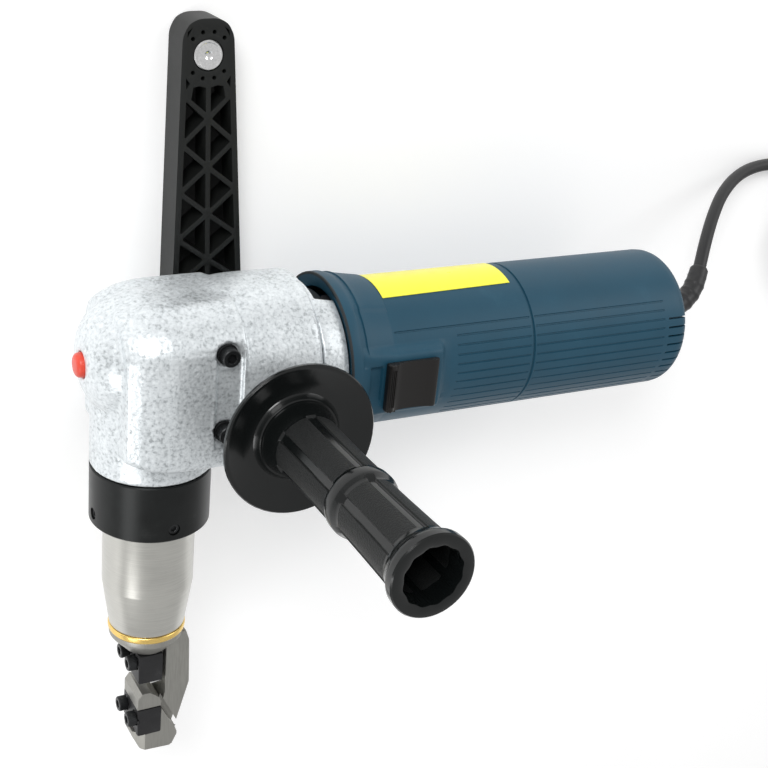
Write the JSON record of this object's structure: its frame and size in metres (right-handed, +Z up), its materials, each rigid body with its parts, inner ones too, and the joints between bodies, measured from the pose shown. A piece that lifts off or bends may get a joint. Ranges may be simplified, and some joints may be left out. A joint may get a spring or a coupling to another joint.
{
  "type": "electric nibbler",
  "caption": "Hand-held electric sheet metal nibbler with turning cutter head, side handle with guard, ribbed support bar, slide switch and coiled mains cord.",
  "frame": {"origin": "middle of the tool's box, without the cord, on the surface that it lies on", "axes": "+X along the motor axis towards the cord, +Y along the head axis away from the blades, +Z up, towards the side handle's end; the tool lies on its support bar"},
  "size_m": [0.6418, 0.4051, 0.2736],
  "materials": {
    "cast_case": "hammer-tone cast aluminium, speckled",
    "machined_steel": "turned and ground steel, satin",
    "dark_steel": "black oxide steel, satin",
    "bearing_steel": "ground bearing steel",
    "brass_trim": "bright brass",
    "blue_shell": "petrol-blue moulded plastic, fine grain",
    "black_gloss": "glossy black moulded plastic with grained panels",
    "bar_plastic": "matte black glass-filled nylon",
    "switch_plastic": "dark brown-black plastic",
    "red_button": "orange-red plastic",
    "yellow_label": "yellow foil label",
    "inner_plastic": "plain inner moulding",
    "copper_winding": "enamelled copper wire",
    "carbon": "pressed carbon",
    "core_steel": "stacked lamination steel",
    "cord_rubber": "black rubber cord sheath",
    "plug_plastic": "moulded black plug",
    "pin_metal": "nickelled brass pins",
    "tie_fabric": "hook-and-loop tie"
  },
  "bodies": {
    "root": {"gear_case": "cast_case", "bearing_flange": "cast_case", "gear_case_screws": "dark_steel", "lock_spring": "machined_steel", "ram_guide_bush": "brass_trim", "crank_front_bearing": "bearing_steel", "crank_rear_bearing": "bearing_steel", "motor_front_bearing": "bearing_steel", "motor_rear_bearing": "bearing_steel", "stator_core": "core_steel", "field_coils": "copper_winding", "brush_holders": "brass_trim", "carbon_brushes": "carbon", "brush_springs": "machined_steel", "bearing_bridge": "inner_plastic", "motor_housing": "blue_shell", "rear_cover": "blue_shell", "power_switch": "inner_plastic", "suppressor": "inner_plastic", "cord_clamp": "inner_plastic", "cord_clamp_screws": "dark_steel", "housing_screws": "dark_steel", "rating_label": "yellow_label", "bar_bolt": "dark_steel", "strain_relief": "cord_rubber", "cord": "cord_rubber", "cord_coil": "cord_rubber", "cord_tie": "tie_fabric", "plug_body": "plug_plastic", "plug_pins": "pin_metal"},
    "armature": {"armature_shaft": "machined_steel", "armature_core": "core_steel", "armature_windings": "copper_winding", "commutator": "copper_winding", "cooling_fan": "inner_plastic"},
    "crank": {"crank_shaft": "machined_steel", "drive_gear": "machined_steel"},
    "roller": {"crank_roller": "machined_steel"},
    "ram": {"ram_yoke": "machined_steel"},
    "head": {"tool_sleeve": "machined_steel", "sleeve_bush": "brass_trim", "brass_ring": "brass_trim", "cutter_foot": "machined_steel", "lower_blade_holder": "dark_steel", "lower_blade": "dark_steel", "lower_blade_screws": "dark_steel"},
    "cutter": {"ram_lower": "machined_steel", "upper_blade_holder": "dark_steel", "upper_blade": "dark_steel", "upper_blade_screws": "dark_steel"},
    "nut": {"ring_nut": "dark_steel", "ring_nut_set_screws": "dark_steel"},
    "slider": {"switch_slider": "switch_plastic", "switch_rod": "inner_plastic"},
    "button": {"lock_button": "red_button", "lock_pin": "machined_steel"},
    "side_handle": {"side_handle_grip": "black_gloss", "side_handle_stud": "machined_steel"},
    "bar": {"support_bar": "bar_plastic", "bar_stud": "machined_steel"}
  },
  "joints": [
    {"name": "armature_spin", "type": "hinge", "parent": "root", "child": "armature", "pos_m": [0.0125, 0.0345, 0.072], "axis": [1, 0, 0], "continuous": true},
    {"name": "crank_spin", "type": "hinge", "parent": "root", "child": "crank", "pos_m": [-0.0975, 0.01325, 0.072], "axis": [1, 0, 0], "continuous": true},
    {"name": "roller_spin", "type": "hinge", "parent": "crank", "child": "roller", "pos_m": [-0.1375, 0.01575, 0.072], "axis": [1, 0, 0], "continuous": true},
    {"name": "ram_slide", "type": "slide", "parent": "root", "child": "ram", "axis": [0, 1, 0], "range_m": [-0.005, 0]},
    {"name": "head_swivel", "type": "hinge", "parent": "root", "child": "head", "pos_m": [-0.1375, -0.0655, 0.072], "axis": [0, 1, 0], "continuous": true},
    {"name": "cutter_slide", "type": "slide", "parent": "head", "child": "cutter", "axis": [0, 1, 0], "range_m": [-0.005, 0]},
    {"name": "ring_nut_turn", "type": "hinge", "parent": "root", "child": "nut", "pos_m": [-0.1375, -0.0255, 0.072], "axis": [0, 1, 0], "range_deg": [-180, 0]},
    {"name": "switch_slide", "type": "slide", "parent": "root", "child": "slider", "axis": [-1, 0, 0], "range_m": [0, 0.006]},
    {"name": "lock_button_push", "type": "slide", "parent": "root", "child": "button", "axis": [1, 0, 0], "range_m": [0, 0.003], "stiffness_N_per_m": 600},
    {"name": "side_handle_turn", "type": "hinge", "parent": "root", "child": "side_handle", "pos_m": [-0.0875, 0.0245, 0.132], "axis": [0, 0, 1], "continuous": true},
    {"name": "bar_swing", "type": "hinge", "parent": "root", "child": "bar", "pos_m": [-0.0875, 0.0245, 0.012], "axis": [0, 0, 1], "range_deg": [-90, 90]}
  ],
  "couplings": [
    {"joint": "armature_spin", "follows": "crank_spin", "ratio": -3.25},
    {"joint": "cutter_slide", "follows": "ram_slide", "ratio": 1}
  ]
}
